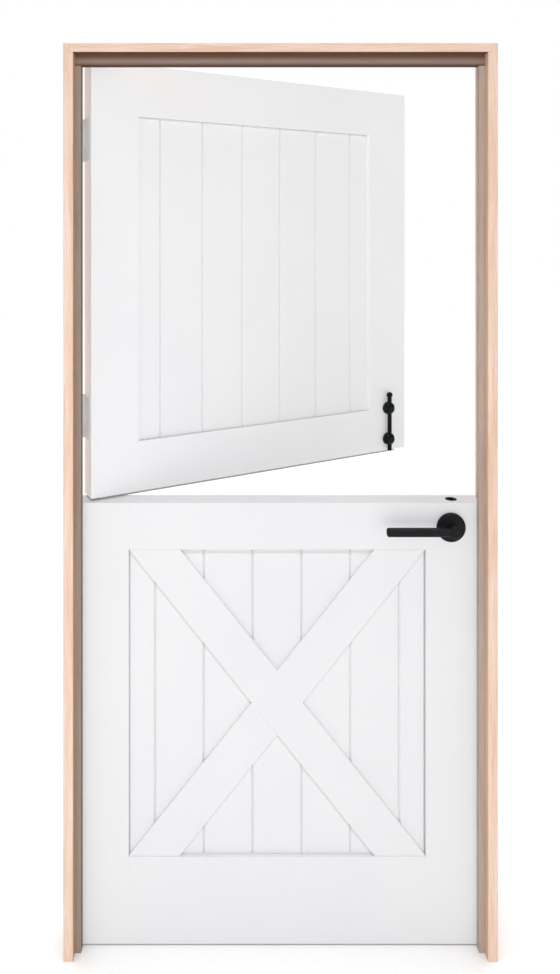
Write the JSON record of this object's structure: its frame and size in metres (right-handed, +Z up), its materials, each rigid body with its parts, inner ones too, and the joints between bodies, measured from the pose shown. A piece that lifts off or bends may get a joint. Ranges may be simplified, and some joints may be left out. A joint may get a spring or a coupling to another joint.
{
  "type": "dutch stable door",
  "caption": "Dutch stable door in its timber frame: cross-braced lower leaf with lever latch, boarded upper leaf with face bolt, each leaf swinging on its own butt hinges.",
  "frame": {"origin": "on the floor midway between the jambs, in the plane of the closed leaves' near faces", "axes": "+Z up; +Y through the doorway, away from the side with the bolt, the way the leaves open; +X from the hinge jamb to the strike jamb"},
  "size_m": [0.975, 0.5298, 2.06],
  "materials": {
    "painted_timber": "satin",
    "painted_boards": "satin",
    "frame_timber": "matte",
    "stop_timber": "matte",
    "bolt_metal": "satin",
    "lever_metal": "satin",
    "latch_metal": "satin",
    "hinge_metal": "satin",
    "seal": "matte"
  },
  "bodies": {
    "frame": {"head_jamb": "frame_timber", "head_stop": "stop_timber", "hinge_jamb": "frame_timber", "hinge_pins": "hinge_metal", "hinge_stop": "stop_timber", "lower_leaf_bottom_jamb_flap": "hinge_metal", "lower_leaf_top_jamb_flap": "hinge_metal", "strike_jamb": "frame_timber", "strike_plate": "latch_metal", "strike_stop": "stop_timber", "upper_leaf_bottom_jamb_flap": "hinge_metal", "upper_leaf_top_jamb_flap": "hinge_metal"},
    "upper_leaf": {"lower_bolt_guide": "bolt_metal", "meeting_seal": "seal", "upper_board_1": "painted_boards", "upper_board_2": "painted_boards", "upper_board_3": "painted_boards", "upper_board_4": "painted_boards", "upper_board_5": "painted_boards", "upper_board_6": "painted_boards", "upper_board_7": "painted_boards", "upper_bolt_guide": "bolt_metal", "upper_bottom_rail": "painted_timber", "upper_hinge_stile": "painted_timber", "upper_leaf_bottom_hinge_flap": "hinge_metal", "upper_leaf_top_hinge_flap": "hinge_metal", "upper_lock_stile": "painted_timber", "upper_top_rail": "painted_timber"},
    "bolt": {"bolt_drive_pin": "bolt_metal", "bolt_rod": "bolt_metal", "bolt_shoot": "bolt_metal"},
    "lower_leaf": {"bolt_socket": "bolt_metal", "falling_brace": "painted_timber", "front_rose": "lever_metal", "latch_case": "latch_metal", "latch_faceplate": "latch_metal", "latch_spring": "latch_metal", "lower_board_1": "painted_boards", "lower_board_2": "painted_boards", "lower_board_3": "painted_boards", "lower_board_4": "painted_boards", "lower_board_5": "painted_boards", "lower_board_6": "painted_boards", "lower_board_7": "painted_boards", "lower_bottom_rail": "painted_timber", "lower_hinge_stile": "painted_timber", "lower_leaf_bottom_hinge_flap": "hinge_metal", "lower_leaf_top_hinge_flap": "hinge_metal", "lower_lock_stile": "painted_timber", "lower_top_rail": "painted_timber", "rear_rose": "lever_metal", "rising_brace": "painted_timber"},
    "lever": {"front_lever": "lever_metal", "latch_follower": "latch_metal", "rear_lever": "lever_metal", "spindle": "latch_metal"},
    "latch": {"latch_bolt": "latch_metal"}
  },
  "joints": [
    {"name": "upper_leaf_swing", "type": "hinge", "parent": "frame", "child": "upper_leaf", "pos_m": [-0.464, 0.061, 0], "axis": [0, 0, 1], "range_deg": [-28, 142]},
    {"name": "lower_leaf_swing", "type": "hinge", "parent": "frame", "child": "lower_leaf", "pos_m": [-0.464, 0.061, 0], "axis": [0, 0, 1], "range_deg": [0, 170]},
    {"name": "bolt_slide", "type": "slide", "parent": "upper_leaf", "child": "bolt", "axis": [0, 0, -1], "range_m": [0, 0.014]},
    {"name": "lever_turn", "type": "hinge", "parent": "lower_leaf", "child": "lever", "pos_m": [0.3925, 0, 0.96], "axis": [0, -1, 0], "range_deg": [0, 45], "stiffness_Nm_per_rad": 1.2, "springref_deg": -34.38, "deforming": ["latch_spring"]},
    {"name": "latch_slide", "type": "slide", "parent": "lower_leaf", "child": "latch", "axis": [-1, 0, 0], "range_m": [0, 0.0111]}
  ],
  "couplings": [
    {"joint": "latch_slide", "follows": "lever_turn", "m_per_rad": 0.014006}
  ]
}
